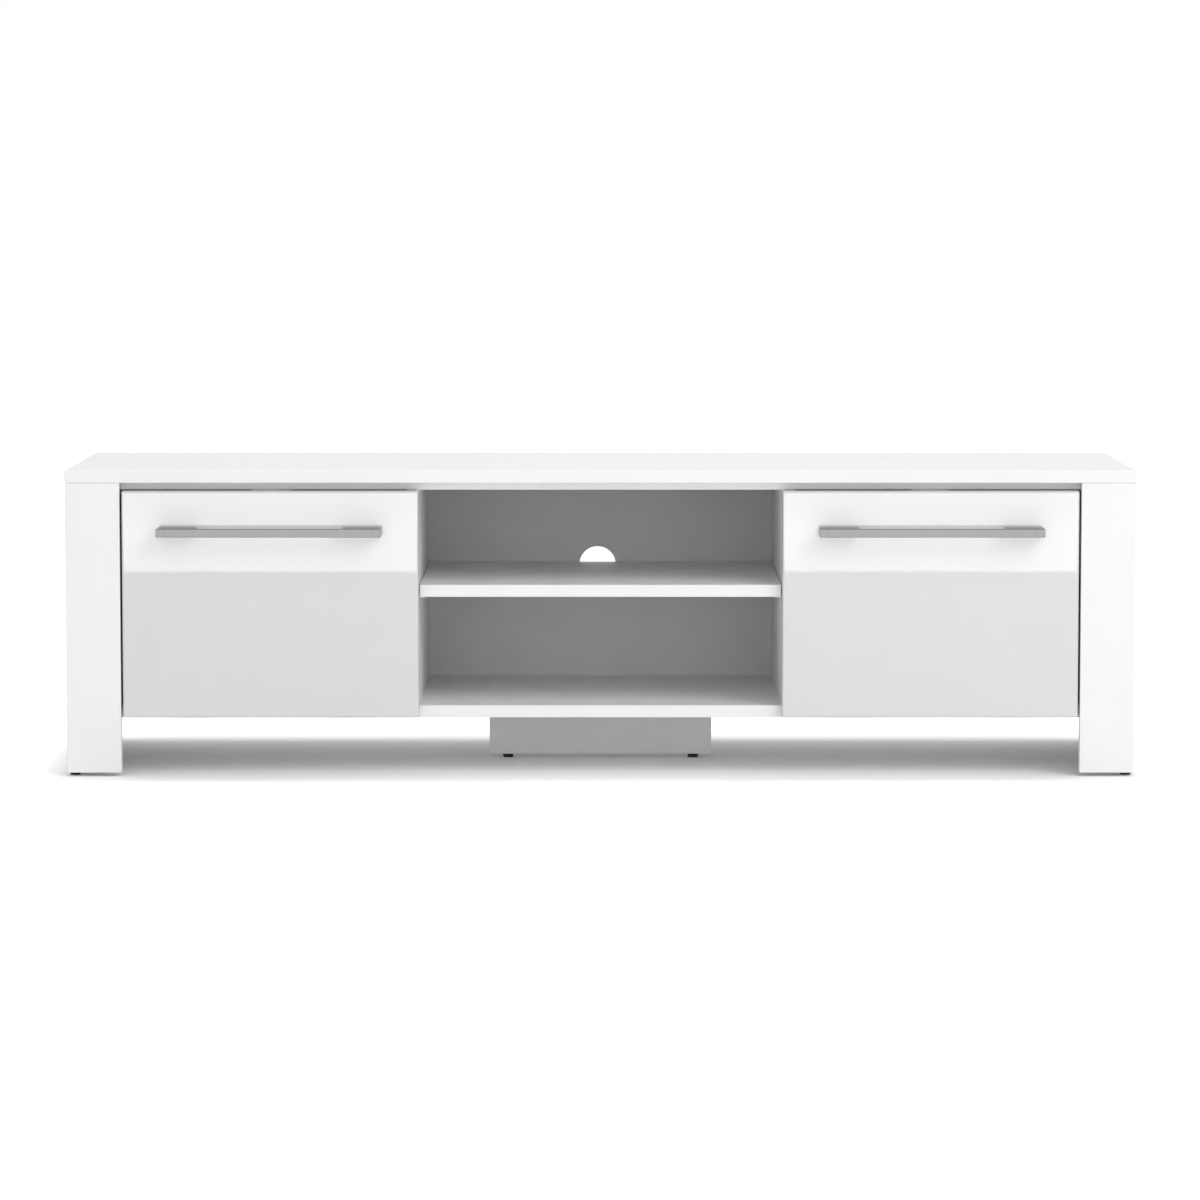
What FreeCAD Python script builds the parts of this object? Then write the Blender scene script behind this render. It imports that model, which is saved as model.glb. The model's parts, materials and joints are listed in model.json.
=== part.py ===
import FreeCAD, Part
import math
import os

# A low television stand of melamine-faced board on small plastic glides. Two front legs of flat
# board stand before the side panels. Between them are an open middle niche with one loose shelf and
# two bays, each closed by a gloss door that drops forward on hinges along its lower edge.
# X runs to the right, Y to the back and Z up, with the floor at Z = 0. Lengths are in millimetres.
# A depth called s is measured backwards from the front edge of the table top.
# The right-hand pieces are modelled, and the left-hand ones are their mirror images.

# Driving dimensions
WIDTH = 1400.0
DEPTH = 400.0
HEIGHT = 402.0
BOARD = 16.0
INNER_TOP_THICKNESS = 10.0
BACK_THICKNESS = 3.0
BACK_RECESS = 1.0
EDGE_RADIUS = 1.0
SIDE_SETBACK = 0.5
LEG_SETBACK = 1.0
LEG_WIDTH = 71.0
BOTTOM_Z = 76.0
CARCASS_FRONT = 19.0
NICHE_HALF = 238.0
SHELF_Z = 235.0
SHELF_SIDE_GAP = 0.7
SUPPORT_WIDTH = 300.0
SUPPORT_FRONT = 206.0
CABLE_HOLE_RADIUS = 25.0
CABLE_HOLE_X = -4.0
CABLE_HOLE_Z = 247.0

# Doors and handles
DOOR_GAP = 2.5
DOOR_FACE = 1.5
DOOR_BOTTOM = 77.6
DOOR_HEIGHT = 298.0
DOOR_EDGE_RADIUS = 3.0
HANDLE_LENGTH = 292.5
HANDLE_HEIGHT = 11.0
HANDLE_Z = 322.5
HANDLE_REACH = 33.0
HANDLE_BAR_THICKNESS = 8.0
HANDLE_END_WIDTH = 10.0
HANDLE_FOOT_WIDTH = 51.0
HANDLE_SCREW_SPACING = 256.0
HANDLE_EDGE_RADIUS = 0.6
HANDLE_JOINT = 0.15
HANDLE_SCREW_RADIUS = 2.0
HANDLE_SCREW_GRIP = 12.0
HANDLE_SCREW_HEAD_RADIUS = 4.0
HANDLE_SCREW_HEAD_THICKNESS = 2.2

# Hinges, two to each door: the knuckles sit in a rebate in the door's lower back edge
HINGE_S = 16.2
HINGE_Z = 78.3
HINGE_WIDTH = 60.0
HINGE_INSET = 60.0
FIXED_LEAF_THICKNESS = 1.0
DOOR_LEAF_THICKNESS = 0.9
DOOR_LEAF_TOP = 107.0
KNUCKLE_RADIUS = 2.2
KNUCKLE_GAP = 0.3
KNUCKLE_ROOM = 0.7
HINGE_PIN_RADIUS = 1.0
PIN_HEAD_RADIUS = 1.6
PIN_HEAD_THICKNESS = 1.0
HINGE_SCREW_INSET = 9.0
HINGE_SCREW_DROP = 8.0

# Door stays: the pivot on the door and the stud on the divider are equally far from the hinge axis
STAY_RADIUS = 120.0
STAY_PIVOT_SETBACK = 13.0
STAY_STUD_ANGLE = 55.0
STAY_ARM_GAP = 3.0
STAY_ARM_THICKNESS = 2.0
STAY_ARM_HALF_WIDTH = 8.0
STAY_STUD_RADIUS = 3.0
STAY_SLOT_CLEARANCE = 0.3
STAY_SLOT_SPARE = 3.5
STAY_RIVET_RADIUS = 2.5
STAY_RIVET_HEAD_RADIUS = 4.5
STAY_EAR_GAP = 0.5
STAY_EAR_HALF_WIDTH = 7.0
STAY_PLATE_WIDTH = 20.0
STAY_PLATE_HALF_HEIGHT = 15.0
STAY_PLATE_THICKNESS = 1.5
STAY_SCREW_RISE = 9.0
STUD_COLLAR_RADIUS = 5.0
STUD_CAP_RADIUS = 5.5
STUD_CAP_THICKNESS = 1.6
STUD_THREAD_RADIUS = 2.0
STUD_THREAD_LENGTH = 10.0
STUD_GAP = 0.6

# Magnetic catches, and the strike plates that they hold
CATCH_SETBACK = 0.4
CATCH_WIDTH = 30.0
CATCH_DEPTH = 15.0
CATCH_HEIGHT = 14.0
CATCH_FLANGE_WIDTH = 48.0
CATCH_FLANGE_THICKNESS = 2.5
CATCH_SCREW_OFFSET = 19.5
MAGNET_WIDTH = 24.0
MAGNET_DEPTH = 9.0
MAGNET_PROUD = 0.2
STRIKE_WIDTH = 30.0
STRIKE_HEIGHT = 12.0
STRIKE_THICKNESS = 1.2
STRIKE_DROP = 0.6

# Glides and shop fittings
GLIDE_RADIUS = 7.0
GLIDE_HEIGHT = 5.0
GLIDE_PIN_RADIUS = 1.2
GLIDE_PIN_LENGTH = 12.0
GLIDE_REAR_INSET = 20.0
SUPPORT_GLIDE_X = 125.0
CLEARANCE = 0.05
CAM_RADIUS = 7.4
CAM_DEPTH = 12.3
CAM_DISTANCE = 24.0
CAM_BOLT_THREAD_RADIUS = 3.0
CAM_BOLT_THREAD_LENGTH = 10.5
CAM_BOLT_SHANK_RADIUS = 2.0
CAM_BOLT_COLLAR_RADIUS = 3.2
CAM_BOLT_CHANNEL_RADIUS = 3.5
DOWEL_RADIUS = 4.0
THIN_DOWEL_RADIUS = 3.0
SHELF_PIN_RADIUS = 2.5
SHELF_PIN_REACH = 7.0
SHELF_PIN_SINK = 10.0
BRACKET_SIZE = 30.0
BRACKET_THICKNESS = 2.0
BRACKET_SCREW_FAR = 20.0
BRACKET_SCREW_PLACES = (8.0, 22.0)
SUPPORT_BRACKET_X = 85.0
NAIL_RADIUS = 0.7
NAIL_HEAD_RADIUS = 1.8
NAIL_HEAD_THICKNESS = 0.6
NAIL_SHANK = 14.0
NAIL_POINT = 2.0

# Countersunk screws as (length, shank radius, head radius)
HINGE_DOOR_SCREW = (13.0, 1.5, 2.4)
HINGE_FIXED_SCREW = (15.0, 1.5, 2.5)
STAY_SCREW = (13.5, 1.5, 3.0)
STRIKE_SCREW = (13.2, 1.5, 2.7)
CATCH_SCREW = (11.0, 1.5, 2.8)
TOP_SCREW = (22.0, 2.0, 4.0)
UPPER_DIVIDER_SCREW = (45.0, 2.5, 5.0)
LOWER_DIVIDER_SCREW = (50.0, 2.5, 5.0)
BRACKET_SCREW = (14.0, 1.75, 3.5)

# Worked out from the driving dimensions
FRONT_Y = (HANDLE_REACH - DEPTH) / 2.0
TOP_Z = HEIGHT - BOARD
INNER_TOP_Z = TOP_Z - INNER_TOP_THICKNESS
FLOOR_BOARD_Z = BOTTOM_Z + BOARD
SIDE_OUTER = WIDTH / 2.0 - SIDE_SETBACK
SIDE_INNER = SIDE_OUTER - BOARD
SIDE_MIDDLE = SIDE_OUTER - BOARD / 2.0
LEG_INNER = SIDE_OUTER - LEG_WIDTH
LEG_BACK = LEG_SETBACK + BOARD
DOOR_OUTER = LEG_INNER - DOOR_GAP
DOOR_BACK = DOOR_FACE + BOARD
DOOR_MIDDLE = (DOOR_OUTER + NICHE_HALF) / 2.0
DIVIDER_OUTER = NICHE_HALF + BOARD
DIVIDER_MIDDLE = NICHE_HALF + BOARD / 2.0
CARCASS_BACK = DEPTH - BACK_RECESS - BACK_THICKNESS
HALF_BOARD = BOARD / 2.0
HANDLE_LOW = HANDLE_Z - HANDLE_HEIGHT / 2.0
HANDLE_HIGH = HANDLE_Z + HANDLE_HEIGHT / 2.0

RIGHT = FreeCAD.Vector(1, 0, 0)
LEFT = FreeCAD.Vector(-1, 0, 0)
BACK = FreeCAD.Vector(0, 1, 0)
FRONT = FreeCAD.Vector(0, -1, 0)
UP = FreeCAD.Vector(0, 0, 1)
DOWN = FreeCAD.Vector(0, 0, -1)

parts = {}


# Shared shapes

def at(x, s, z):
    return FreeCAD.Vector(x, FRONT_Y + s, z)


def block(x_range, s_range, z_range):
    size = [high - low for low, high in (x_range, s_range, z_range)]
    return Part.makeBox(*size, at(x_range[0], s_range[0], z_range[0]))


def board(x_range, s_range, z_range, radius=EDGE_RADIUS):
    shape = block(x_range, s_range, z_range)
    return shape.makeFillet(radius, shape.Edges)


def rod(radius, start, direction, length):
    return Part.makeCylinder(radius, length, start, direction)


def joined(shapes):
    return shapes[0].multiFuse(shapes[1:]).removeSplitter()


def mirrored(shape):
    return shape.mirror(FreeCAD.Vector(0, 0, 0), RIGHT)


def with_mirror(shapes):
    return shapes + [mirrored(shape) for shape in shapes]


def add_pair(name, shapes):
    parts["right_" + name] = shapes
    parts["left_" + name] = [mirrored(shape) for shape in shapes]


def cut_from(node, tools):
    parts[node] = [shape.cut(tools) for shape in parts[node]]


def cut_both(name, tools):
    """Cuts a pair of pieces, or one that spans both sides, with tools and their mirror images."""
    if "right_" + name in parts:
        cut_from("right_" + name, tools)
        cut_from("left_" + name, [mirrored(tool) for tool in tools])
    else:
        cut_from(name, with_mirror(tools))


def cross_recess(centre, direction, size):
    side = RIGHT if abs(direction.x) < 0.5 else UP
    other = direction.cross(side)
    arms = []
    for along, across in ((side, other), (other, side)):
        corner = centre - along * size - across * (size / 5.0) - direction * 0.1
        arm = Part.makeBox(2.0 * size, 0.4 * size, size * 0.6 + 0.1)
        turn = FreeCAD.Rotation(along, across, along.cross(across), "XZY")
        arm.Placement = FreeCAD.Placement(corner, turn)
        if along.cross(across).dot(direction) < 0:
            arm.translate(direction * (size * 0.6 + 0.1))
        arms.append(arm)
    return arms


def screw_body(head, direction, length, radius, head_radius, grow=0.0):
    """A countersunk screw whose head's flat face is centred on head."""
    flare = head_radius - radius
    tip = 2.0 * radius
    shank_start = head + direction * flare
    tip_start = head + direction * (length - tip)
    cone = Part.makeCone(head_radius + grow, radius + grow, flare, head, direction)
    shank = rod(radius + grow, shank_start, direction, length - flare - tip)
    point = Part.makeCone(radius + grow, 0.3 + grow, tip, tip_start, direction)
    return joined([cone, shank, point])


def wood_screw(head, direction, length, radius, head_radius):
    recess = cross_recess(head, direction, head_radius * 0.55)
    return screw_body(head, direction, length, radius, head_radius).cut(recess)


def screw_group(heads, direction, size):
    """Screws that start at heads, and the tools that cut their seats and holes."""
    screws = [wood_screw(head, direction, *size) for head in heads]
    holes = [screw_body(head, direction, *size, CLEARANCE) for head in heads]
    return screws, holes


# Boards

def add_boards():
    middle_depth = (CARCASS_FRONT, CARCASS_BACK)
    side_height = (GLIDE_HEIGHT, TOP_Z)
    parts["table_top"] = [board((-WIDTH / 2, WIDTH / 2), (0, DEPTH), (TOP_Z, HEIGHT))]
    across = (-SIDE_INNER, SIDE_INNER)
    parts["inner_top"] = [board(across, middle_depth, (INNER_TOP_Z, TOP_Z))]
    parts["bottom_panel"] = [board(across, middle_depth, (BOTTOM_Z, FLOOR_BOARD_Z))]
    side_depth = (LEG_BACK, CARCASS_BACK)
    add_pair("side_panel", [board((SIDE_INNER, SIDE_OUTER), side_depth, side_height)])
    leg_depth = (LEG_SETBACK, LEG_BACK)
    add_pair("leg_board", [board((LEG_INNER, SIDE_OUTER), leg_depth, side_height)])
    divider_height = (FLOOR_BOARD_Z, INNER_TOP_Z)
    add_pair("divider", [board((NICHE_HALF, DIVIDER_OUTER), middle_depth, divider_height)])
    shelf_half = NICHE_HALF - SHELF_SIDE_GAP
    shelf_depth = (CARCASS_FRONT, CARCASS_BACK - 1.0)
    shelf_height = (SHELF_Z, SHELF_Z + BOARD)
    parts["centre_shelf"] = [board((-shelf_half, shelf_half), shelf_depth, shelf_height)]
    support_depth = (SUPPORT_FRONT, SUPPORT_FRONT + BOARD)
    support_across = (-SUPPORT_WIDTH / 2, SUPPORT_WIDTH / 2)
    parts["centre_support"] = [board(support_across, support_depth, (GLIDE_HEIGHT, BOTTOM_Z))]


def add_back_panel():
    edge = SIDE_OUTER - 2.0
    depth = (CARCASS_BACK, CARCASS_BACK + BACK_THICKNESS)
    panel = block((-edge, edge), depth, (BOTTOM_Z + 2.0, TOP_Z - 2.0))
    hole_start = at(CABLE_HOLE_X, CARCASS_BACK - 1.0, CABLE_HOLE_Z)
    hole = rod(CABLE_HOLE_RADIUS, hole_start, BACK, BACK_THICKNESS + 2.0)
    parts["back_panel"] = [panel.cut(hole)]


# Doors, handles and what is fixed to them

def add_doors():
    height = (DOOR_BOTTOM, DOOR_BOTTOM + DOOR_HEIGHT)
    shape = block((NICHE_HALF, DOOR_OUTER), (DOOR_FACE, DOOR_BACK), height)
    back_y = FRONT_Y + DOOR_BACK
    front_edges = [edge for edge in shape.Edges if edge.BoundBox.YMin < back_y - 1.0]
    add_pair("door_panel", [shape.makeFillet(DOOR_EDGE_RADIUS, front_edges)])


def softened(shape, joint_places):
    """Rounds a handle piece's visible edges, all but those that meet another piece at joint_places."""
    front_y = FRONT_Y + DOOR_FACE
    edges = []
    for edge in shape.Edges:
        box = edge.BoundBox
        at_joint = [x for x in joint_places if box.XLength < 0.01 and abs(box.XMin - x) < 0.01]
        if box.YMin < front_y - 1.0 and not at_joint:
            edges.append(edge)
    return shape.makeFillet(HANDLE_EDGE_RADIUS, edges)


def handle_foot(outward):
    """The casting at one end of the handle: its tip and the foot behind the bar."""
    end = HANDLE_LENGTH / 2.0
    bar_back = HANDLE_BAR_THICKNESS - HANDLE_REACH
    joint = outward * (end - HANDLE_END_WIDTH + HANDLE_JOINT)
    foot_x = sorted((outward * (end - HANDLE_FOOT_WIDTH), outward * end))
    tip_x = sorted((joint, outward * end))
    foot = block(foot_x, (bar_back, DOOR_FACE), (HANDLE_LOW, HANDLE_HIGH))
    tip = block(tip_x, (-HANDLE_REACH, bar_back), (HANDLE_LOW, HANDLE_HIGH))
    casting = softened(joined([foot, tip]), [joint])
    casting.translate(RIGHT * DOOR_MIDDLE)
    return casting


def handle_screw(seat):
    """A pan-headed screw from the door's back into a handle foot, and its hole."""
    head = rod(HANDLE_SCREW_HEAD_RADIUS, seat, BACK, HANDLE_SCREW_HEAD_THICKNESS)
    head = head.makeFillet(0.8, [head.Edges[0]])
    head = head.cut(cross_recess(seat + BACK * HANDLE_SCREW_HEAD_THICKNESS, FRONT, 1.9))
    shank = rod(HANDLE_SCREW_RADIUS, seat, FRONT, BOARD + HANDLE_SCREW_GRIP)
    hole = rod(HANDLE_SCREW_RADIUS + CLEARANCE, seat, FRONT, BOARD + HANDLE_SCREW_GRIP + 1.0)
    return joined([head, shank]), hole


def add_handles():
    half = HANDLE_LENGTH / 2.0 - HANDLE_END_WIDTH
    bar_x = (DOOR_MIDDLE - half, DOOR_MIDDLE + half)
    bar_s = (-HANDLE_REACH, HANDLE_BAR_THICKNESS - HANDLE_REACH - CLEARANCE)
    bar = block(bar_x, bar_s, (HANDLE_LOW, HANDLE_HIGH))
    add_pair("handle_bar", [softened(bar, bar_x)])
    seats = [at(DOOR_MIDDLE + side * HANDLE_SCREW_SPACING / 2.0, DOOR_BACK, HANDLE_Z) for side in (-1, 1)]
    fixings = [handle_screw(seat) for seat in seats]
    holes = [hole for _, hole in fixings]
    add_pair("handle_feet", [handle_foot(outward) for outward in (-1, 1)])
    add_pair("handle_screws", [screw for screw, _ in fixings])
    cut_both("handle_feet", holes)
    cut_both("door_panel", holes)


def knuckle(x_start, length):
    start = at(x_start, HINGE_S, HINGE_Z)
    return rod(KNUCKLE_RADIUS, start, RIGHT, length)


def hinge(x_start):
    """One butt hinge: the fixed leaf, the door leaf and the pin."""
    third = HINGE_WIDTH / 3.0
    x_end = x_start + HINGE_WIDTH
    across = (x_start, x_end)
    middle = (x_start + third, x_end - third)
    clear_z = HINGE_Z + KNUCKLE_RADIUS + KNUCKLE_ROOM
    bore = rod(HINGE_PIN_RADIUS + CLEARANCE, at(x_start - 1, HINGE_S, HINGE_Z), RIGHT, HINGE_WIDTH + 2)
    fixed_s = (CARCASS_FRONT - FIXED_LEAF_THICKNESS, CARCASS_FRONT)
    fixed_plate = block(across, fixed_s, (HINGE_Z - 1.0, FLOOR_BOARD_Z - 1.0))
    notch = block(middle, (fixed_s[0] - 1.0, fixed_s[1] + 1.0), (HINGE_Z - 2.0, clear_z))
    outer_knuckles = [knuckle(x_start, third), knuckle(x_end - third, third)]
    fixed_leaf = joined([fixed_plate.cut(notch)] + outer_knuckles).cut(bore)
    inner = (middle[0] + KNUCKLE_GAP, middle[1] - KNUCKLE_GAP)
    door_s = (DOOR_BACK - DOOR_LEAF_THICKNESS, DOOR_BACK)
    tab = block(inner, door_s, (HINGE_Z, clear_z + 1.0))
    door_plate = block(across, door_s, (clear_z, DOOR_LEAF_TOP))
    door_leaf = joined([door_plate, tab, knuckle(inner[0], inner[1] - inner[0])]).cut(bore)
    pin_start = at(x_start - PIN_HEAD_THICKNESS, HINGE_S, HINGE_Z)
    shaft = rod(HINGE_PIN_RADIUS, pin_start, RIGHT, HINGE_WIDTH + 2.0 * PIN_HEAD_THICKNESS)
    head_length = PIN_HEAD_THICKNESS - CLEARANCE
    first_head = rod(PIN_HEAD_RADIUS, pin_start, RIGHT, head_length)
    second_head = rod(PIN_HEAD_RADIUS, at(x_end + CLEARANCE, HINGE_S, HINGE_Z), RIGHT, head_length)
    return fixed_leaf, door_leaf, joined([shaft, first_head, second_head])


def hinge_seat(x_start):
    """The rebate for a hinge's knuckles and the shallow mortise for its door leaf."""
    room = KNUCKLE_RADIUS + KNUCKLE_ROOM
    spare = PIN_HEAD_THICKNESS + 0.5
    across = (x_start - spare, x_start + HINGE_WIDTH + spare)
    rebate = block(across, (HINGE_S - room, DOOR_BACK + 1.0), (DOOR_BOTTOM - 1.0, HINGE_Z + room))
    leaf_x = (x_start - CLEARANCE, x_start + HINGE_WIDTH + CLEARANCE)
    leaf_s = (DOOR_BACK - DOOR_LEAF_THICKNESS, DOOR_BACK + 1.0)
    mortise = block(leaf_x, leaf_s, (DOOR_BOTTOM - 1.0, DOOR_LEAF_TOP + CLEARANCE))
    return [rebate, mortise]


def stay_pivot():
    rise = math.sqrt(STAY_RADIUS ** 2 - STAY_PIVOT_SETBACK ** 2)
    return at(0, HINGE_S + STAY_PIVOT_SETBACK, HINGE_Z + rise)


def stay_stud_centre():
    angle = math.radians(STAY_STUD_ANGLE)
    return at(0, HINGE_S + STAY_RADIUS * math.cos(angle), HINGE_Z + STAY_RADIUS * math.sin(angle))


def stay_arm():
    """The slotted arm, laid from the door's pivot past the stud on the divider."""
    pivot = stay_pivot()
    reach = stay_stud_centre() - pivot
    closed_reach = reach.Length
    pivot_angle = math.acos(STAY_PIVOT_SETBACK / STAY_RADIUS)
    spread = pivot_angle + math.pi / 2.0 - math.radians(STAY_STUD_ANGLE)
    open_reach = 2.0 * STAY_RADIUS * math.sin(spread / 2.0)
    slot_radius = STAY_STUD_RADIUS + STAY_SLOT_CLEARANCE
    x = DIVIDER_OUTER + STAY_ARM_GAP
    low = FreeCAD.Vector(x, pivot.y, pivot.z)

    def strip(radius, start, end):
        corner = low + BACK * start + DOWN * radius
        flat = Part.makeBox(STAY_ARM_THICKNESS, end - start, 2.0 * radius, corner)
        ends = [rod(radius, low + BACK * place, RIGHT, STAY_ARM_THICKNESS) for place in (start, end)]
        return joined([flat] + ends)

    arm = strip(STAY_ARM_HALF_WIDTH, 0.0, open_reach)
    slot = strip(slot_radius, closed_reach - STAY_SLOT_SPARE, open_reach)
    hole = rod(STAY_RIVET_RADIUS + CLEARANCE, low, RIGHT, STAY_ARM_THICKNESS)
    arm = arm.cut([slot, hole])
    arm.rotate(low, RIGHT, math.degrees(math.atan2(reach.z, reach.y)))
    return arm


def stay_bracket(ear_x, pivot):
    """The plate on the door's back, with the ear that carries the stay's rivet."""
    plate_s = (DOOR_BACK, DOOR_BACK + STAY_PLATE_THICKNESS)
    plate_z = (pivot.z - STAY_PLATE_HALF_HEIGHT, pivot.z + STAY_PLATE_HALF_HEIGHT)
    plate = block((ear_x, ear_x + STAY_PLATE_WIDTH), plate_s, plate_z)
    ear_z = (pivot.z - STAY_EAR_HALF_WIDTH, pivot.z + STAY_EAR_HALF_WIDTH)
    ear = block((ear_x, ear_x + STAY_PLATE_THICKNESS), (DOOR_BACK, pivot.y - FRONT_Y), ear_z)
    centre = FreeCAD.Vector(ear_x, pivot.y, pivot.z)
    nose = rod(STAY_EAR_HALF_WIDTH, centre, RIGHT, STAY_PLATE_THICKNESS)
    hole = rod(STAY_RIVET_RADIUS + CLEARANCE, centre + LEFT, RIGHT, STAY_PLATE_THICKNESS + 2.0)
    return joined([plate, ear, nose]).cut(hole)


def stay_rivet(arm_inner, ear_x, pivot):
    head_thickness = 1.2
    start = FreeCAD.Vector(arm_inner - 1.6, pivot.y, pivot.z)
    ear_outer = FreeCAD.Vector(ear_x + STAY_PLATE_THICKNESS + CLEARANCE, pivot.y, pivot.z)
    shank = rod(STAY_RIVET_RADIUS, start, RIGHT, ear_outer.x - start.x)
    first_head = rod(STAY_RIVET_HEAD_RADIUS, start, RIGHT, head_thickness)
    second_head = rod(STAY_RIVET_HEAD_RADIUS - 0.5, ear_outer, RIGHT, head_thickness - 0.2)
    return joined([shank, first_head, second_head])


def stay_stud():
    """The stud that the arm's slot slides on, and the hole for its thread in the divider."""
    centre = stay_stud_centre()
    base = FreeCAD.Vector(DIVIDER_OUTER, centre.y, centre.z)
    neck_length = STAY_ARM_GAP + STAY_ARM_THICKNESS + STUD_GAP
    collar = rod(STUD_COLLAR_RADIUS, base, RIGHT, STAY_ARM_GAP - STUD_GAP)
    neck = rod(STAY_STUD_RADIUS, base, RIGHT, neck_length)
    cap = rod(STUD_CAP_RADIUS, base + RIGHT * neck_length, RIGHT, STUD_CAP_THICKNESS)
    thread = rod(STUD_THREAD_RADIUS, base, LEFT, STUD_THREAD_LENGTH)
    hole = rod(STUD_THREAD_RADIUS + CLEARANCE, base, LEFT, STUD_THREAD_LENGTH + 0.5)
    return joined([collar, neck, cap, thread]), hole


def add_stays():
    """One slotted stay to each door. Returns where the screws of its bracket start."""
    arm_inner = DIVIDER_OUTER + STAY_ARM_GAP
    ear_x = arm_inner + STAY_ARM_THICKNESS + STAY_EAR_GAP
    pivot = stay_pivot()
    add_pair("stay_arm", [stay_arm()])
    add_pair("stay_bracket", [stay_bracket(ear_x, pivot)])
    add_pair("stay_rivet", [stay_rivet(arm_inner, ear_x, pivot)])
    stud, stud_hole = stay_stud()
    add_pair("stay_stud", [stud])
    cut_both("divider", [stud_hole])
    screw_x = ear_x + 0.6 * STAY_PLATE_WIDTH
    screw_s = DOOR_BACK + STAY_PLATE_THICKNESS
    return [at(screw_x, screw_s, pivot.z + rise) for rise in (-STAY_SCREW_RISE, STAY_SCREW_RISE)]


def add_strike_plate():
    """The steel plate behind each door's top edge. Returns where its screw starts."""
    top = DOOR_BOTTOM + DOOR_HEIGHT - STRIKE_DROP
    across = (DOOR_MIDDLE - STRIKE_WIDTH / 2.0, DOOR_MIDDLE + STRIKE_WIDTH / 2.0)
    outer_s = DOOR_BACK + STRIKE_THICKNESS
    add_pair("strike_plate", [block(across, (DOOR_BACK, outer_s), (top - STRIKE_HEIGHT, top))])
    return at(DOOR_MIDDLE, outer_s, top - STRIKE_HEIGHT / 2.0)


def add_door_fittings():
    """Hinges, stays and strike plates, with the screws that hold them to doors and bottom panel."""
    starts = (NICHE_HALF + HINGE_INSET, DOOR_OUTER - HINGE_INSET - HINGE_WIDTH)
    fixed_leaves, door_leaves, pins = zip(*[hinge(start) for start in starts])
    add_pair("hinge_fixed_leaves", list(fixed_leaves))
    add_pair("hinge_door_leaves", list(door_leaves))
    add_pair("hinge_pins", list(pins))
    cut_both("door_panel", [tool for start in starts for tool in hinge_seat(start)])
    bracket_heads = add_stays()
    strike_head = add_strike_plate()

    insets = (HINGE_SCREW_INSET, HINGE_WIDTH - HINGE_SCREW_INSET)
    screw_x = [start + inset for start in starts for inset in insets]
    door_heads = [at(x, DOOR_BACK, DOOR_LEAF_TOP - HINGE_SCREW_DROP) for x in screw_x]
    fixed_s = CARCASS_FRONT - FIXED_LEAF_THICKNESS
    fixed_heads = [at(x, fixed_s, BOTTOM_Z + HALF_BOARD + 1.5) for x in screw_x]
    door_screws, door_holes = screw_group(door_heads, FRONT, HINGE_DOOR_SCREW)
    fixed_screws, fixed_holes = screw_group(fixed_heads, BACK, HINGE_FIXED_SCREW)
    bracket_screws, bracket_holes = screw_group(bracket_heads, FRONT, STAY_SCREW)
    strike_screws, strike_holes = screw_group([strike_head], FRONT, STRIKE_SCREW)

    add_pair("flap_screws", door_screws + bracket_screws + strike_screws)
    for name in ("door_panel", "hinge_door_leaves", "stay_bracket", "strike_plate"):
        cut_both(name, door_holes + bracket_holes + strike_holes)
    cut_both("hinge_fixed_leaves", fixed_holes)
    cut_both("bottom_panel", fixed_holes)
    parts["hinge_fixed_screws"] = with_mirror(fixed_screws)


def centred(width):
    return DOOR_MIDDLE - width / 2.0, DOOR_MIDDLE + width / 2.0


def add_catches():
    """Magnetic catches under the inner top, one behind the top edge of each door."""
    front = CARCASS_FRONT + CATCH_SETBACK
    depth = (front, front + CATCH_DEPTH)
    flange_low = INNER_TOP_Z - CATCH_FLANGE_THICKNESS
    body = block(centred(CATCH_WIDTH), depth, (INNER_TOP_Z - CATCH_HEIGHT, INNER_TOP_Z))
    flange = block(centred(CATCH_FLANGE_WIDTH), depth, (flange_low, INNER_TOP_Z))
    magnet_low, magnet_high = INNER_TOP_Z - 11.0, INNER_TOP_Z - 4.0
    pocket = block(centred(MAGNET_WIDTH), (front - 1.0, front + MAGNET_DEPTH), (magnet_low, magnet_high))
    magnet_s = (front - MAGNET_PROUD, front + MAGNET_DEPTH - 2.0 * CLEARANCE)
    magnet_z = (magnet_low + CLEARANCE, magnet_high - CLEARANCE)
    magnet = block(centred(MAGNET_WIDTH - 2.0 * CLEARANCE), magnet_s, magnet_z)
    screw_s = front + CATCH_DEPTH / 2.0
    heads = [at(DOOR_MIDDLE + side * CATCH_SCREW_OFFSET, screw_s, flange_low) for side in (-1, 1)]
    screws, holes = screw_group(heads, UP, CATCH_SCREW)
    housing = joined([body, flange]).cut([pocket] + holes)
    parts["catch_housings"] = with_mirror([housing])
    parts["catch_magnets"] = with_mirror([magnet])
    parts["catch_screws"] = with_mirror(screws)
    cut_both("inner_top", holes)


# Feet and the fittings that hold the boards together

def glide(x, s):
    disc = rod(GLIDE_RADIUS, at(x, s, 0), UP, GLIDE_HEIGHT)
    disc = disc.makeFillet(1.2, [edge for edge in disc.Edges if edge.BoundBox.ZMax < 0.1])
    return joined([disc, rod(GLIDE_PIN_RADIUS, at(x, s, GLIDE_HEIGHT), UP, GLIDE_PIN_LENGTH)])


def glide_hole(x, s):
    return rod(GLIDE_PIN_RADIUS + CLEARANCE, at(x, s, GLIDE_HEIGHT - 1.0), UP, GLIDE_PIN_LENGTH + 2.0)


def add_glides():
    places = [(SIDE_MIDDLE, LEG_BACK + HALF_BOARD), (SIDE_MIDDLE, CARCASS_BACK - GLIDE_REAR_INSET)]
    add_pair("side_glides", [glide(x, s) for x, s in places])
    cut_both("side_panel", [glide_hole(x, s) for x, s in places])
    support_s = SUPPORT_FRONT + HALF_BOARD
    parts["support_glides"] = with_mirror([glide(SUPPORT_GLIDE_X, support_s)])
    cut_both("centre_support", [glide_hole(SUPPORT_GLIDE_X, support_s)])


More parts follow.
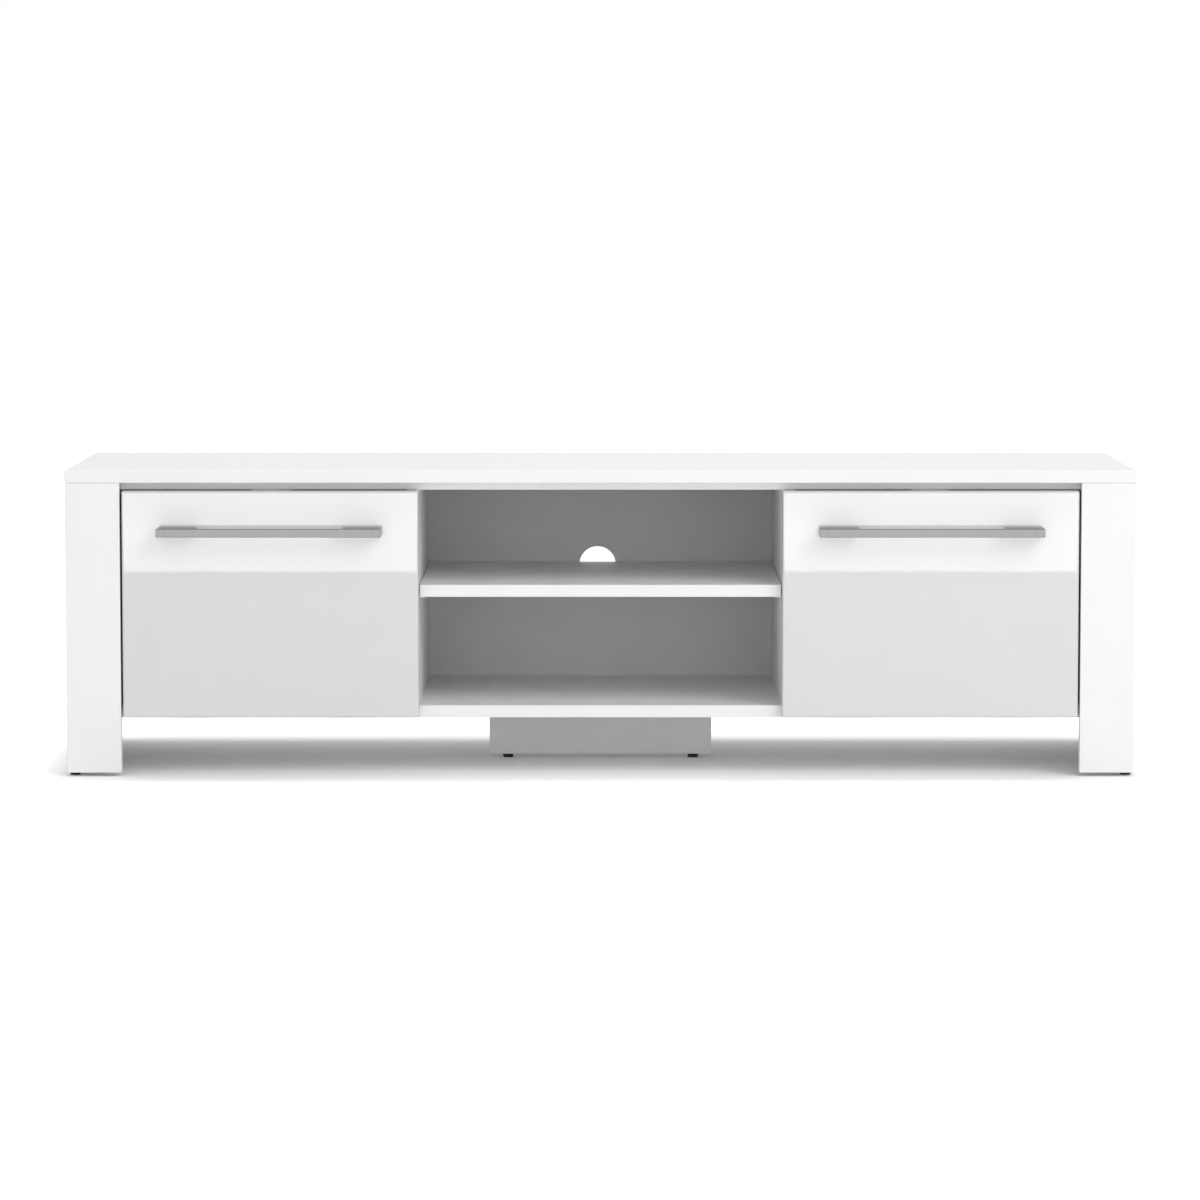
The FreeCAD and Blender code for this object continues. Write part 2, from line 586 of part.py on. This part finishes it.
def cam_joint(edge_point, toward_cam, face):
    """A cam lock and its bolt. The bolt leaves the joint at edge_point; the cam opens towards face."""
    inward = face * -1.0
    outward = toward_cam * -1.0
    axis_point = edge_point + toward_cam * CAM_DISTANCE
    cam_face = axis_point + face * HALF_BOARD
    cam = rod(CAM_RADIUS, cam_face, inward, CAM_DEPTH)
    cavity = rod(CAM_BOLT_CHANNEL_RADIUS - 0.1, axis_point, outward, CAM_RADIUS + 1.0)
    cam = cam.cut([cavity] + cross_recess(cam_face, inward, 3.5))
    thread = rod(CAM_BOLT_THREAD_RADIUS, edge_point, outward, CAM_BOLT_THREAD_LENGTH)
    shank = rod(CAM_BOLT_SHANK_RADIUS, edge_point, toward_cam, CAM_DISTANCE - 4.0)
    collar = rod(CAM_BOLT_COLLAR_RADIUS, edge_point, toward_cam, 2.0)
    head = rod(CAM_BOLT_THREAD_RADIUS, axis_point - toward_cam * 5.0, toward_cam, 3.0)
    bolt = joined([thread, collar, shank, head])
    cam_hole = rod(CAM_RADIUS + 0.1, cam_face, inward, CAM_DEPTH + 0.2)
    bolt_hole = rod(CAM_BOLT_CHANNEL_RADIUS, edge_point, toward_cam, CAM_DISTANCE)
    thread_radius = CAM_BOLT_THREAD_RADIUS + CLEARANCE
    thread_hole = rod(thread_radius, edge_point, outward, CAM_BOLT_THREAD_LENGTH + 0.5)
    return cam, bolt, [cam_hole, bolt_hole], [thread_hole]


def add_cams():
    cams = []
    bolts = []
    for s in (100.0, 320.0):
        floor_edge = at(SIDE_INNER, s, BOTTOM_Z + HALF_BOARD)
        top_edge = at(SIDE_MIDDLE, s, TOP_Z)
        joints = (
            ("bottom_panel", "side_panel", cam_joint(floor_edge, LEFT, DOWN)),
            ("side_panel", "table_top", cam_joint(top_edge, DOWN, LEFT)),
        )
        for cam_board, bolt_board, (cam, bolt, cam_tools, bolt_tools) in joints:
            cams.append(cam)
            bolts.append(bolt)
            cut_both(cam_board, cam_tools)
            cut_both(bolt_board, bolt_tools)
    parts["cam_locks"] = with_mirror(cams)
    parts["cam_bolts"] = with_mirror(bolts)


def add_dowel(dowels, boards, point, direction, depths, radius=DOWEL_RADIUS):
    """Adds a dowel through point that sinks by depths into the first and second board."""
    before, after = depths
    start = point - direction * before
    dowels.append(rod(radius, start, direction, before + after))
    hole = rod(radius + CLEARANCE, start - direction, direction, before + after + 2.0)
    for name in boards:
        cut_both(name, [hole])


def add_dowels():
    dowels = []
    edge_first = (18.0, 10.0)
    for z in (60.0, 195.0, 330.0):
        leg_joint = at(SIDE_MIDDLE, LEG_BACK, z)
        add_dowel(dowels, ("leg_board", "side_panel"), leg_joint, BACK, (11.0, 16.0))
    for s in (45.0, 365.0):
        side_top = at(SIDE_MIDDLE, s, TOP_Z)
        floor_side = at(SIDE_INNER, s, BOTTOM_Z + HALF_BOARD)
        divider_foot = at(DIVIDER_MIDDLE, s, FLOOR_BOARD_Z)
        divider_top = at(DIVIDER_MIDDLE, s, INNER_TOP_Z)
        add_dowel(dowels, ("side_panel", "table_top"), side_top, UP, edge_first)
        add_dowel(dowels, ("bottom_panel", "side_panel"), floor_side, RIGHT, edge_first)
        add_dowel(dowels, ("bottom_panel", "divider"), divider_foot, UP, (10.0, 18.0))
        add_dowel(dowels, ("divider", "inner_top"), divider_top, UP, (18.0, 7.0))
    leg_top = at(LEG_INNER + 20.0, LEG_SETBACK + HALF_BOARD, TOP_Z)
    add_dowel(dowels, ("leg_board", "table_top"), leg_top, UP, edge_first)
    support_top = at(60.0, SUPPORT_FRONT + HALF_BOARD, BOTTOM_Z)
    add_dowel(dowels, ("centre_support", "bottom_panel"), support_top, UP, edge_first)
    for s in (60.0, 200.0, 340.0):
        inner_side = at(SIDE_INNER, s, INNER_TOP_Z + INNER_TOP_THICKNESS / 2.0)
        add_dowel(dowels, ("inner_top", "side_panel"), inner_side, RIGHT, (14.0, 10.0), THIN_DOWEL_RADIUS)
    parts["dowels"] = with_mirror(dowels)


def add_board_screws():
    top_heads = [at(x, s, INNER_TOP_Z) for x in (120.0, 330.0, 560.0) for s in (70.0, 340.0)]
    top_screws, top_holes = screw_group(top_heads, UP, TOP_SCREW)
    parts["top_screws"] = with_mirror(top_screws)
    cut_both("inner_top", top_holes)
    cut_both("table_top", top_holes)
    places = (90.0, 320.0)
    upper_heads = [at(DIVIDER_MIDDLE, s, TOP_Z) for s in places]
    lower_heads = [at(DIVIDER_MIDDLE, s, BOTTOM_Z) for s in places]
    upper, upper_holes = screw_group(upper_heads, DOWN, UPPER_DIVIDER_SCREW)
    lower, lower_holes = screw_group(lower_heads, UP, LOWER_DIVIDER_SCREW)
    parts["divider_screws"] = with_mirror(upper + lower)
    cut_both("inner_top", upper_holes)
    cut_both("bottom_panel", lower_holes)
    cut_both("divider", upper_holes + lower_holes)


def add_support_brackets():
    """Two angles that tie the centre support to the underside of the bottom panel."""
    back = SUPPORT_FRONT + BOARD
    across = (SUPPORT_BRACKET_X, SUPPORT_BRACKET_X + BRACKET_SIZE)
    low = BOTTOM_Z - BRACKET_SIZE
    upright = block(across, (back, back + BRACKET_THICKNESS), (low, BOTTOM_Z))
    flat = block(across, (back, back + BRACKET_SIZE), (BOTTOM_Z - BRACKET_THICKNESS, BOTTOM_Z))
    screw_x = [SUPPORT_BRACKET_X + place for place in BRACKET_SCREW_PLACES]
    wall_heads = [at(x, back + BRACKET_THICKNESS, BOTTOM_Z - BRACKET_SCREW_FAR) for x in screw_x]
    roof_heads = [at(x, back + BRACKET_SCREW_FAR, BOTTOM_Z - BRACKET_THICKNESS) for x in screw_x]
    wall_screws, wall_holes = screw_group(wall_heads, FRONT, BRACKET_SCREW)
    roof_screws, roof_holes = screw_group(roof_heads, UP, BRACKET_SCREW)
    angle = joined([upright, flat]).cut(wall_holes + roof_holes)
    parts["support_brackets"] = with_mirror([angle])
    parts["support_bracket_screws"] = with_mirror(wall_screws + roof_screws)
    cut_both("centre_support", wall_holes)
    cut_both("bottom_panel", roof_holes)


def add_leg_brackets():
    """Angles in the corners between the leg boards and the side panels."""
    angles = []
    screws = []
    leg_face = LEG_BACK + BRACKET_THICKNESS
    side_face = SIDE_INNER - BRACKET_THICKNESS
    for low in (34.0, 205.0):
        height = (low, low + BRACKET_SIZE)
        on_leg = block((SIDE_INNER - BRACKET_SIZE, SIDE_INNER), (LEG_BACK, leg_face), height)
        on_side = block((side_face, SIDE_INNER), (LEG_BACK, LEG_BACK + BRACKET_SIZE), height)
        levels = [low + place for place in BRACKET_SCREW_PLACES]
        leg_heads = [at(SIDE_INNER - BRACKET_SCREW_FAR, leg_face, z) for z in levels]
        side_heads = [at(side_face, LEG_BACK + BRACKET_SCREW_FAR, z) for z in levels]
        leg_screws, leg_holes = screw_group(leg_heads, FRONT, BRACKET_SCREW)
        side_screws, side_holes = screw_group(side_heads, RIGHT, BRACKET_SCREW)
        angles.append(joined([on_leg, on_side]).cut(leg_holes + side_holes))
        screws += leg_screws + side_screws
        cut_both("leg_board", leg_holes)
        cut_both("side_panel", side_holes)
    parts["leg_brackets"] = with_mirror(angles)
    parts["leg_bracket_screws"] = with_mirror(screws)


def add_shelf_pins():
    """Pins under the loose shelf, each flattened where the shelf rests on it."""
    pins = []
    holes = []
    collar_thickness = 1.2
    below_shelf = block((0, WIDTH), (0, DEPTH), (0, SHELF_Z))
    for s in (55.0, 350.0):
        centre = at(NICHE_HALF, s, SHELF_Z - SHELF_PIN_RADIUS)
        length = SHELF_PIN_REACH + SHELF_PIN_SINK
        shank = rod(SHELF_PIN_RADIUS, centre + LEFT * SHELF_PIN_REACH, RIGHT, length)
        collar = rod(SHELF_PIN_RADIUS + 1.0, centre + LEFT * collar_thickness, RIGHT, collar_thickness)
        pins.append(joined([shank, collar]).common(below_shelf))
        holes.append(rod(SHELF_PIN_RADIUS + CLEARANCE, centre, RIGHT, SHELF_PIN_SINK + 1.0))
    parts["shelf_pins"] = with_mirror(pins)
    cut_both("divider", holes)


def back_nail(x, z):
    face = at(x, CARCASS_BACK + BACK_THICKNESS, z)
    head = rod(NAIL_HEAD_RADIUS, face, BACK, NAIL_HEAD_THICKNESS)
    shank = rod(NAIL_RADIUS, face, FRONT, NAIL_SHANK)
    point = Part.makeCone(NAIL_RADIUS, 0.1, NAIL_POINT, face + FRONT * NAIL_SHANK, FRONT)
    hole_length = NAIL_SHANK + NAIL_POINT + 1.5
    hole = rod(NAIL_RADIUS + CLEARANCE, face + BACK * 0.5, FRONT, hole_length)
    return joined([head, shank, point]), hole


def add_back_nails():
    along = [55.0 + 116.0 * step for step in range(6)]
    floor_z = BOTTOM_Z + HALF_BOARD
    top_z = INNER_TOP_Z + INNER_TOP_THICKNESS / 2.0
    places = [(x, z) for z in (floor_z, top_z) for x in along]
    places += [(SIDE_MIDDLE, z) for z in (140.0, 225.0, 310.0)]
    places += [(DIVIDER_MIDDLE, z) for z in (175.0, 285.0)]
    fixings = [back_nail(x, z) for x, z in places]
    parts["back_panel_nails"] = with_mirror([nail for nail, _ in fixings])
    for name in ("back_panel", "bottom_panel", "inner_top", "side_panel", "divider"):
        cut_both(name, [hole for _, hole in fixings])


def export_parts():
    os.makedirs("parts", exist_ok=True)
    for node, shapes in parts.items():
        solids = [solid for shape in shapes for solid in shape.Solids]
        for solid in solids:
            if not solid.isValid():
                print("not valid:", node)
        whole = solids[0] if len(solids) == 1 else Part.makeCompound(solids)
        whole.exportStep("parts/" + node + ".step")
        print(node, len(solids), round(whole.Volume, 1))


add_boards()
add_back_panel()
add_doors()
add_handles()
add_door_fittings()
add_catches()
add_glides()
add_cams()
add_dowels()
add_board_screws()
add_support_brackets()
add_leg_brackets()
add_shelf_pins()
add_back_nails()
export_parts()
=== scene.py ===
import json
import math

import bpy
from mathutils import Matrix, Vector


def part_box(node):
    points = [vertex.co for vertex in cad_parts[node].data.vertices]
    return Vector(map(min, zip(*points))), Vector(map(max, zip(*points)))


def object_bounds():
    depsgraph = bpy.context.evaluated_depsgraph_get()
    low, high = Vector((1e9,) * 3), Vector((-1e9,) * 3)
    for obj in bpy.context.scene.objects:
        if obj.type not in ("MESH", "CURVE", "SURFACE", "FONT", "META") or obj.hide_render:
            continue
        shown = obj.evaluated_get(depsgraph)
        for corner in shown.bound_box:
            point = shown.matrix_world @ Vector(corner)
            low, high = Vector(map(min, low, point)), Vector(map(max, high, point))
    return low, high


# The looks of a white television stand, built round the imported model. Lengths are in metres.

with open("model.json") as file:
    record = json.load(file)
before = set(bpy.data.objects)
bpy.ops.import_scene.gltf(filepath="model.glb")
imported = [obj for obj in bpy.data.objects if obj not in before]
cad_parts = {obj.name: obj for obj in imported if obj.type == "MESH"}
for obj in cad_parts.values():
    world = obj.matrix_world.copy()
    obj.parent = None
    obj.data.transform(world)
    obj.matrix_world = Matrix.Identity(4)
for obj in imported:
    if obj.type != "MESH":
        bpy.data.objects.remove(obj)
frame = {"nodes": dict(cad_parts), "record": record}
cad_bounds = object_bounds()
nodes = frame["nodes"]

FRONT_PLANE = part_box("table_top")[0].y

# Camera: on the stand's middle line, in front of and above it, and aimed slightly down.
# The distance is from the front edge of the table top, and the pitch is in degrees.
CAMERA_X = -0.0006
CAMERA_HEIGHT = 0.803
CAMERA_DISTANCE = 6.34
CAMERA_PITCH = 5.14
CAMERA_LENS = 146.0
CAMERA_SENSOR = 36.0
CAMERA_REACH = 200.0

# World: its strength as a light, and as the backdrop that the camera sees
WORLD_STRENGTH = 0.70
BACKDROP_STRENGTH = 1.0

# Lamps: name, place, point aimed at, width, height and power in watts. Reflections don't show them.
LAMPS = (
    ("key", (2.6, -3.2, 3.2), (0.0, 0.0, 0.25), 2.4, 2.4, 78.0),
    ("front", (0.0, -4.5, 2.2), (0.0, 0.0, 0.2), 3.0, 1.5, 14.0),
    ("front_low", (0.0, -5.0, 0.9), (0.0, 0.0, 0.2), 4.0, 1.2, 16.0),
    ("overhead", (0.0, 0.05, 2.6), (0.0, 0.05, 0.0), 3.0, 0.8, 22.0),
)

# Floor card: a bright strip that lies on the floor before the stand and shows only in reflections.
# The start is its distance from the table top's front edge, and makes the line across both doors.
CARD_START = 3.187
CARD_DEPTH = 5.0
CARD_WIDTH = 9.0
CARD_HEIGHT = 0.002
CARD_RADIANCE = 3.0

# Floor: it glows to the camera, less so under the stand, which paints the stand's shadow on it. The
# rise is how far outside the stand's outline the glow comes to its full strength, and so the soft
# edge of that painted shadow.
FLOOR_SIZE = 60.0
FLOOR_TONES = ((0.3, (0.94, 0.94, 0.94)), (0.7, (0.96, 0.96, 0.96)))
FLOOR_GLOW = 0.5
FLOOR_GLOW_IN_PAINTED_SHADOW = 0.03
FLOOR_PAINTED_SHADOW_RISE = 0.08

# Colours, and places along a ramp with the colour at each
WHITE_FOIL = (0.78, 0.78, 0.785)
WHITE_LACQUER = (0.595, 0.595, 0.60)
BACK_FOIL = (0.70, 0.70, 0.70)
CHIPBOARD = ((0.0, (0.32, 0.22, 0.13)), (0.5, (0.53, 0.40, 0.26)), (1.0, (0.68, 0.56, 0.40)))
HARDBOARD = ((0.25, (0.20, 0.115, 0.06)), (0.55, (0.33, 0.205, 0.115)), (0.8, (0.45, 0.30, 0.18)))
BEECH = ((0.3, (0.50, 0.33, 0.19)), (0.7, (0.70, 0.52, 0.33)))
ALUMINIUM = (0.265, 0.265, 0.265)
NICKEL = (0.64, 0.63, 0.615)
ZINC = (0.60, 0.61, 0.62)
CAM_ZINC = (0.45, 0.46, 0.47)
FERRITE = (0.06, 0.06, 0.065)
BLACK_PLASTIC = (0.008, 0.008, 0.008)
WHITE_PLASTIC = (0.80, 0.80, 0.79)

BACKWARD = (0, 1, 0)
RAW_REAR_NODES = ("left_side_panel", "right_side_panel", "centre_shelf")


# Node helpers

def tint(colour, amount):
    """Two shades of a colour, a little darker and a little lighter."""
    return (
        tuple(value * (1.0 - amount) for value in colour),
        tuple(min(1.0, value * (1.0 + amount)) for value in colour),
    )


class Nodes:
    """A small shorthand for building a material's node tree."""

    def __init__(self, name):
        self.material = bpy.data.materials.new(name)
        self.material.use_nodes = True
        self.tree = self.material.node_tree
        self.tree.nodes.clear()
        self.shader = self.tree.nodes.new("ShaderNodeBsdfPrincipled")
        output = self.tree.nodes.new("ShaderNodeOutputMaterial")
        self.link(self.shader.outputs["BSDF"], output.inputs["Surface"])

    def link(self, source, target):
        self.tree.links.new(source, target)

    def drive(self, name, value):
        """Lets a node's output set the shader's input of that name."""
        self.link(value, self.shader.inputs[name])

    def set(self, **values):
        """Fixes shader inputs, named with _ for each space."""
        for name, value in values.items():
            self.shader.inputs[name.replace("_", " ")].default_value = value

    def coordinates(self, scale=(1, 1, 1)):
        source = self.tree.nodes.new("ShaderNodeTexCoord")
        mapping = self.tree.nodes.new("ShaderNodeMapping")
        mapping.inputs["Scale"].default_value = scale
        self.link(source.outputs["Object"], mapping.inputs["Vector"])
        return mapping.outputs["Vector"]

    def noise(self, vector, scale, detail=3.0, roughness=0.5):
        node = self.tree.nodes.new("ShaderNodeTexNoise")
        node.inputs["Scale"].default_value = scale
        node.inputs["Detail"].default_value = detail
        node.inputs["Roughness"].default_value = roughness
        self.link(vector, node.inputs["Vector"])
        return node.outputs["Fac"]

    def cells(self, vector, scale):
        node = self.tree.nodes.new("ShaderNodeTexVoronoi")
        node.inputs["Scale"].default_value = scale
        self.link(vector, node.inputs["Vector"])
        return node.outputs["Color"]

    def ramp(self, value, stops):
        node = self.tree.nodes.new("ShaderNodeValToRGB")
        elements = node.color_ramp.elements
        while len(elements) < len(stops):
            elements.new(0.5)
        for element, (place, colour) in zip(elements, stops):
            element.position = place
            element.color = (*colour, 1.0)
        self.link(value, node.inputs["Fac"])
        return node.outputs["Color"]

    def shades(self, value, colour, amount):
        """The colour, a little darker or lighter as value falls or rises."""
        dark, light = tint(colour, amount)
        return self.ramp(value, ((0.3, dark), (0.7, light)))

    def range(self, value, low, high, start=0.0, end=1.0):
        """Goes from low to high as value goes from start to end."""
        node = self.tree.nodes.new("ShaderNodeMapRange")
        node.inputs["From Min"].default_value = start
        node.inputs["From Max"].default_value = end
        node.inputs["To Min"].default_value = low
        node.inputs["To Max"].default_value = high
        self.link(value, node.inputs["Value"])
        return node.outputs["Result"]

    def maths(self, operation, first, second=None):
        """second is a number or another node's output, or nothing where one value is enough."""
        node = self.tree.nodes.new("ShaderNodeMath")
        node.operation = operation
        self.link(first, node.inputs[0])
        if isinstance(second, (int, float)):
            node.inputs[1].default_value = second
        elif second is not None:
            self.link(second, node.inputs[1])
        return node.outputs["Value"]

    def mix(self, factor, first, second):
        node = self.tree.nodes.new("ShaderNodeMix")
        node.data_type = "RGBA"
        self.link(factor, node.inputs["Factor"])
        self.link(first, node.inputs["A"])
        self.link(second, node.inputs["B"])
        return node.outputs["Result"]

    def facing(self, axis):
        """1 where the surface's own normal points along axis, in the object's own space."""
        source = self.tree.nodes.new("ShaderNodeTexCoord")
        dot = self.tree.nodes.new("ShaderNodeVectorMath")
        dot.operation = "DOT_PRODUCT"
        dot.inputs[1].default_value = axis
        self.link(source.outputs["Normal"], dot.inputs[0])
        return self.range(dot.outputs["Value"], low=0.0, high=1.0, start=0.5, end=0.6)

    def bump(self, height, strength, distance):
        node = self.tree.nodes.new("ShaderNodeBump")
        node.inputs["Strength"].default_value = strength
        node.inputs["Distance"].default_value = distance
        self.link(height, node.inputs["Height"])
        self.drive("Normal", node.outputs["Normal"])


# Materials

def melamine(name="melamine_white", raw_edge=None):
    """White melamine foil with a fine pearl grain. Its raw_edge side, if given, is bare chipboard."""
    m = Nodes(name)
    place = m.coordinates()
    white = m.shades(m.noise(place, scale=14.0, detail=4.0), WHITE_FOIL, amount=0.012)
    pearl = m.noise(place, scale=1400.0, detail=2.0, roughness=0.6)
    if raw_edge:
        chips = m.ramp(m.cells(place, scale=420.0), CHIPBOARD)
        white = m.mix(m.facing(raw_edge), white, chips)
    m.drive("Base Color", white)
    m.drive("Roughness", m.range(pearl, low=0.36, high=0.46))
    m.set(Specular_IOR_Level=0.5)
    m.bump(pearl, strength=0.25, distance=0.00003)
    return m.material


def gloss_front():
    """A white front under a hard clear coat, with plain melamine on its back."""
    m = Nodes("gloss_front")
    place = m.coordinates()
    back = m.facing(BACKWARD)
    cloud = m.noise(place, scale=9.0)
    lacquer = m.shades(cloud, WHITE_LACQUER, amount=0.008)
    foil = m.shades(cloud, WHITE_FOIL, amount=0.008)
    m.drive("Base Color", m.mix(back, lacquer, foil))
    m.drive("Roughness", m.range(cloud, low=0.34, high=0.40))
    m.drive("Coat Weight", m.range(back, low=1.0, high=0.0))
    m.set(Coat_Roughness=0.02, Coat_IOR=1.7)
    peel = m.noise(place, scale=160.0, detail=2.0)
    m.bump(peel, strength=0.04, distance=0.00002)
    return m.material


def back_board():
    """Thin hardboard: a white foil towards the room and brown pressed fibre behind."""
    m = Nodes("back_board")
    foil = m.shades(m.noise(m.coordinates(), scale=30.0), BACK_FOIL, amount=0.015)
    fibre = m.noise(m.coordinates(scale=(1, 1, 1.6)), scale=420.0, detail=6.0, roughness=0.7)
    brown = m.ramp(fibre, HARDBOARD)
    m.drive("Base Color", m.mix(m.facing(BACKWARD), foil, brown))
    m.set(Roughness=0.6)
    m.bump(fibre, strength=0.25, distance=0.00008)
    return m.material


def brushed_metal(name, colour, roughness):
    """Satin metal with fine brush lines from left to right."""
    m = Nodes(name)
    grain = m.noise(m.coordinates(scale=(0.03, 1, 1)), scale=2600.0, roughness=0.6)
    m.drive("Base Color", m.shades(grain, colour, amount=0.02))
    m.drive("Roughness", m.range(grain, low=roughness - 0.03, high=roughness + 0.03))
    m.set(Metallic=1.0)
    m.bump(grain, strength=0.05, distance=0.00001)
    return m.material


def cast_metal(name, colour, roughness):
    """Metal with the fine uneven skin of a casting or of plating."""
    m = Nodes(name)
    skin = m.noise(m.coordinates(), scale=900.0, detail=4.0, roughness=0.6)
    m.drive("Base Color", m.shades(skin, colour, amount=0.08))
    m.drive("Roughness", m.range(skin, low=roughness - 0.06, high=roughness + 0.08))
    m.set(Metallic=1.0)
    m.bump(skin, strength=0.2, distance=0.00005)
    return m.material


def moulded(name, colour, roughness):
    """Plastic with the fine texture of its mould."""
    m = Nodes(name)
    skin = m.noise(m.coordinates(), scale=2200.0, detail=2.0)
    m.drive("Base Color", m.shades(skin, colour, amount=0.06))
    m.drive("Roughness", m.range(skin, low=roughness - 0.05, high=roughness + 0.05))
    m.bump(skin, strength=0.2, distance=0.00004)
    return m.material


def beech():
    """Wood with its grain drawn out upwards."""
    m = Nodes("beech_wood")
    grain = m.noise(m.coordinates(scale=(1, 1, 0.3)), scale=700.0, detail=5.0, roughness=0.6)
    m.drive("Base Color", m.ramp(grain, BEECH))
    m.set(Roughness=0.6)
    m.bump(grain, strength=0.3, distance=0.0001)
    return m.material


def dress():
    """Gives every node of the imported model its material."""
    rear_raw = melamine("melamine_raw_rear", raw_edge=BACKWARD)
    by_slot = {
        "white_melamine": melamine(),
        "gloss_white_front": gloss_front(),
        "back_hardboard": back_board(),
        "handle_aluminium": brushed_metal("handle_aluminium", ALUMINIUM, roughness=0.25),
        "zinc_steel": cast_metal("zinc_steel", ZINC, roughness=0.34),
        "nickel_hinge": brushed_metal("nickel", NICKEL, roughness=0.3),
        "cam_zinc": cast_metal("cam_zinc", CAM_ZINC, roughness=0.45),
        "black_plastic": moulded("black_plastic", BLACK_PLASTIC, roughness=0.5),
        "white_plastic": moulded("white_plastic", WHITE_PLASTIC, roughness=0.4),
        "magnet_ferrite": cast_metal("ferrite", FERRITE, roughness=0.6),
        "beech_dowel": beech(),
    }
    for entry in frame["record"]["subparts"]:
        material = by_slot[entry["material_slot"]]
        if entry["node"] in RAW_REAR_NODES:
            material = rear_raw
        data = nodes[entry["node"]].data
        data.materials.clear()
        data.materials.append(material)


# Stage

def add_floor():
    bpy.ops.mesh.primitive_plane_add(size=FLOOR_SIZE, location=(0, 0, 0))
    floor = bpy.context.object
    floor.name = "floor"
    m = Nodes("floor_paper")
    m.drive("Base Color", m.ramp(m.noise(m.coordinates(), scale=3.0, detail=2.0), FLOOR_TONES))
    m.set(Roughness=0.8, Specular_IOR_Level=0.2, Emission_Color=(1.0, 1.0, 1.0, 1.0))
    split = m.tree.nodes.new("ShaderNodeSeparateXYZ")
    m.link(m.coordinates(), split.inputs["Vector"])
    corner = cad_bounds[1]
    beyond_side = m.maths("SUBTRACT", m.maths("ABSOLUTE", split.outputs["X"]), corner.x)
    beyond_back = m.maths("SUBTRACT", m.maths("ABSOLUTE", split.outputs["Y"]), corner.y)
    outside = m.maths("MAXIMUM", beyond_side, beyond_back)
    # The glow is cut back under the stand and rises outside its outline: a painted shadow of the
    # stand on the floor.
    glow = m.range(outside, low=FLOOR_GLOW_IN_PAINTED_SHADOW, high=FLOOR_GLOW, end=FLOOR_PAINTED_SHADOW_RISE)
    path = m.tree.nodes.new("ShaderNodeLightPath")
    m.drive("Emission Strength", m.maths("MULTIPLY", glow, path.outputs["Is Camera Ray"]))
    floor.data.materials.append(m.material)


def add_world():
    world = bpy.data.worlds.new("studio")
    bpy.context.scene.world = world
    world.use_nodes = True
    tree = world.node_tree
    background = tree.nodes["Background"]
    background.inputs["Color"].default_value = (1.0, 1.0, 1.0, 1.0)
    path = tree.nodes.new("ShaderNodeLightPath")
    strength = tree.nodes.new("ShaderNodeMapRange")
    strength.inputs["To Min"].default_value = WORLD_STRENGTH
    strength.inputs["To Max"].default_value = BACKDROP_STRENGTH
    tree.links.new(path.outputs["Is Camera Ray"], strength.inputs["Value"])
    tree.links.new(strength.outputs["Result"], background.inputs["Strength"])


def area_light(name, place, aim, width, height, power):
    light = bpy.data.lights.new(name, "AREA")
    light.energy = power
    light.shape = "RECTANGLE"
    light.size = width
    light.size_y = height
    lamp = bpy.data.objects.new(name, light)
    bpy.context.scene.collection.objects.link(lamp)
    lamp.location = place
    lamp.rotation_euler = (Vector(aim) - Vector(place)).to_track_quat("-Z", "Y").to_euler()
    lamp.visible_camera = False
    return lamp


def add_lamps():
    for settings in LAMPS:
        lamp = area_light(*settings)
        lamp.visible_glossy = False


def add_floor_card():
    middle = FRONT_PLANE - CARD_START - CARD_DEPTH / 2.0
    place = (0, middle, CARD_HEIGHT)
    overhead = (0, middle, 1.0)
    power = CARD_RADIANCE * math.pi * CARD_DEPTH * CARD_WIDTH
    card = area_light("floor_card", place, overhead, CARD_WIDTH, CARD_DEPTH, power)
    card.visible_diffuse = False
    card.visible_transmission = False
    card.visible_volume_scatter = False


def add_camera():
    data = bpy.data.cameras.new("camera")
    data.sensor_width = CAMERA_SENSOR
    data.lens = CAMERA_LENS
    data.clip_end = CAMERA_REACH
    camera = bpy.data.objects.new("camera", data)
    bpy.context.scene.collection.objects.link(camera)
    camera.location = (CAMERA_X, FRONT_PLANE - CAMERA_DISTANCE, CAMERA_HEIGHT)
    camera.rotation_euler = (math.radians(90.0 - CAMERA_PITCH), 0, 0)
    bpy.context.scene.camera = camera


bpy.context.scene.view_settings.view_transform = "Standard"
add_camera()
dress()
add_floor()
add_world()
add_lamps()
add_floor_card()
